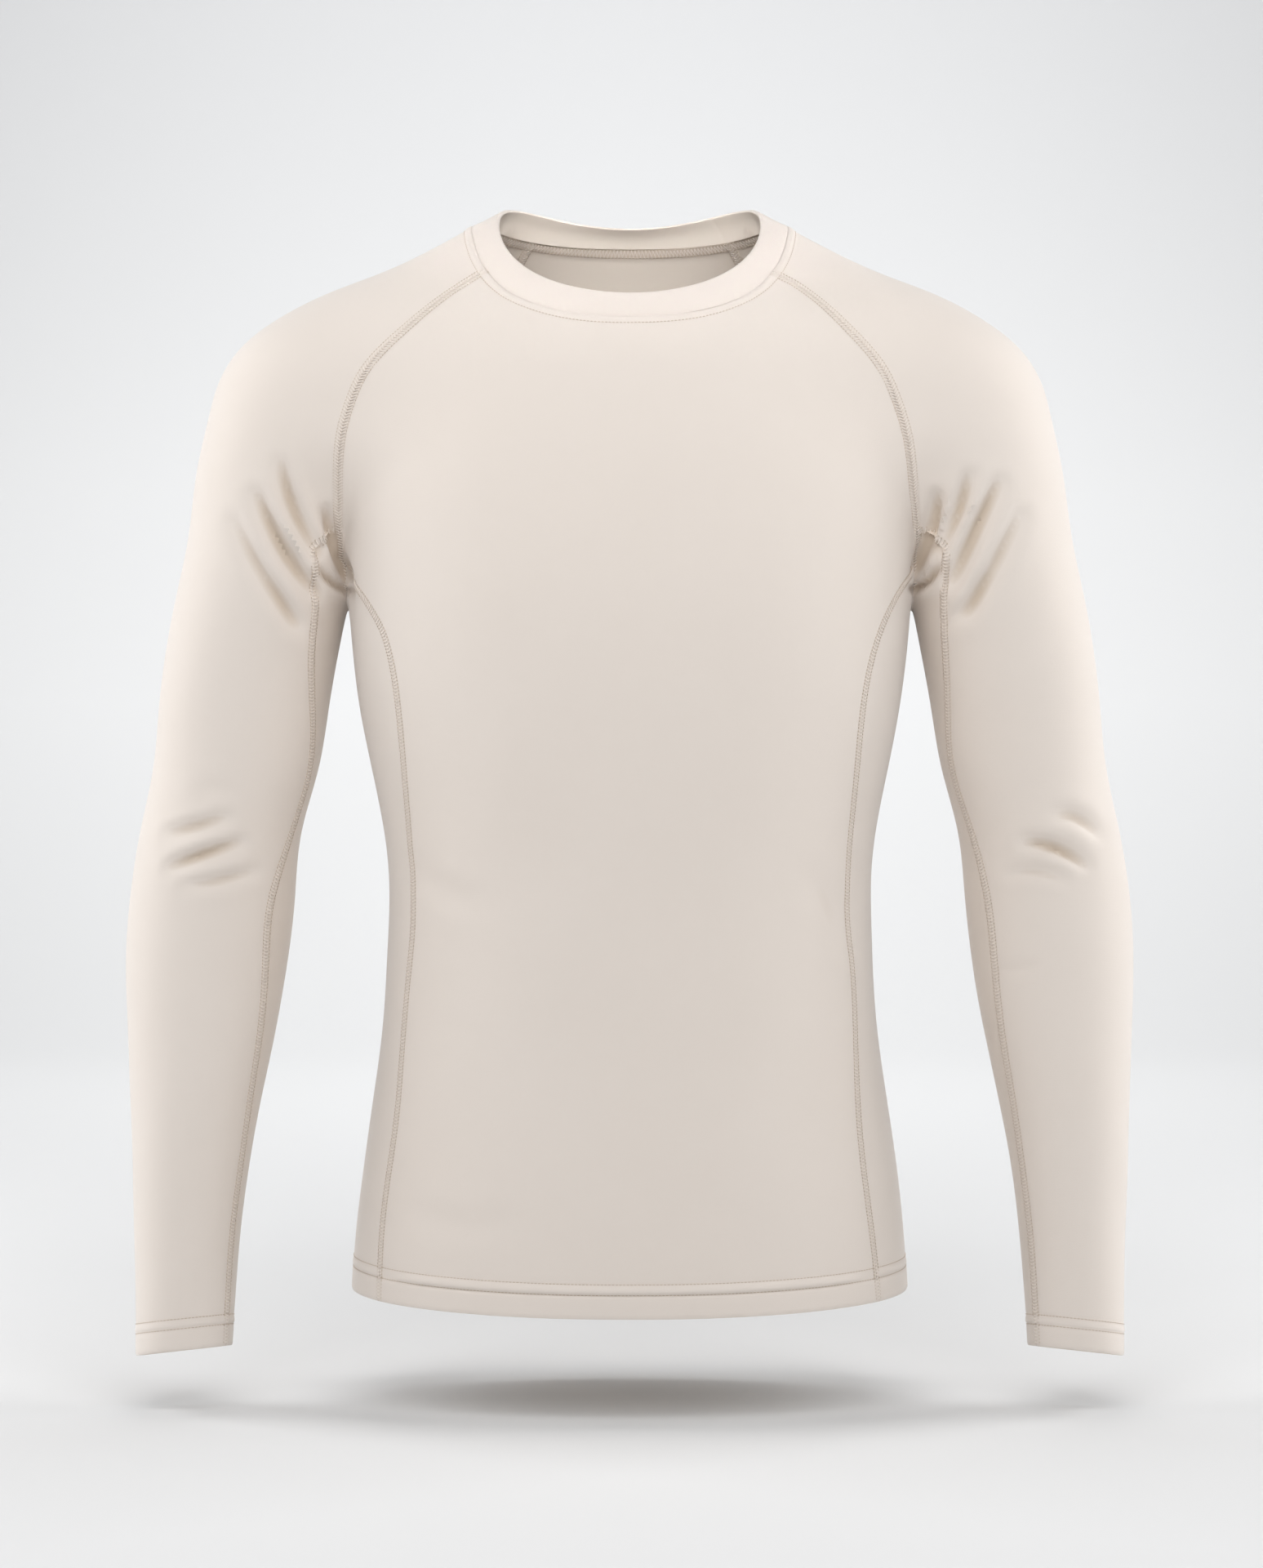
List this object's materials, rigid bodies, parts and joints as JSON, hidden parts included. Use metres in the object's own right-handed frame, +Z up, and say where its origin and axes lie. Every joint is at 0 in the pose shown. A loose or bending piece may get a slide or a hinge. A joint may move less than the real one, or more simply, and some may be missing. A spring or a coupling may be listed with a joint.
{
  "type": "thermal base layer top",
  "caption": "Long-sleeved thermal top in fine knit, with raglan sleeves, crew neckband and side and under-sleeve panels, hollow and filled out as worn.",
  "frame": {"origin": "middle of the neck opening, at the height where the shoulders carry the cloth", "axes": "+Z up, the front faces -Y, the wearer's left is +X"},
  "size_m": [0.6276, 0.245, 0.7158],
  "materials": {
    "knit": "matte fine jersey",
    "band": "matte fine jersey, folded double"
  },
  "bodies": {
    "root": {"front": "knit", "back": "knit", "side_right": "knit", "side_left": "knit", "sleeve_right": "knit", "sleeve_left": "knit", "under_sleeve_right": "knit", "under_sleeve_left": "knit", "neckband": "band"}
  },
  "joints": []
}
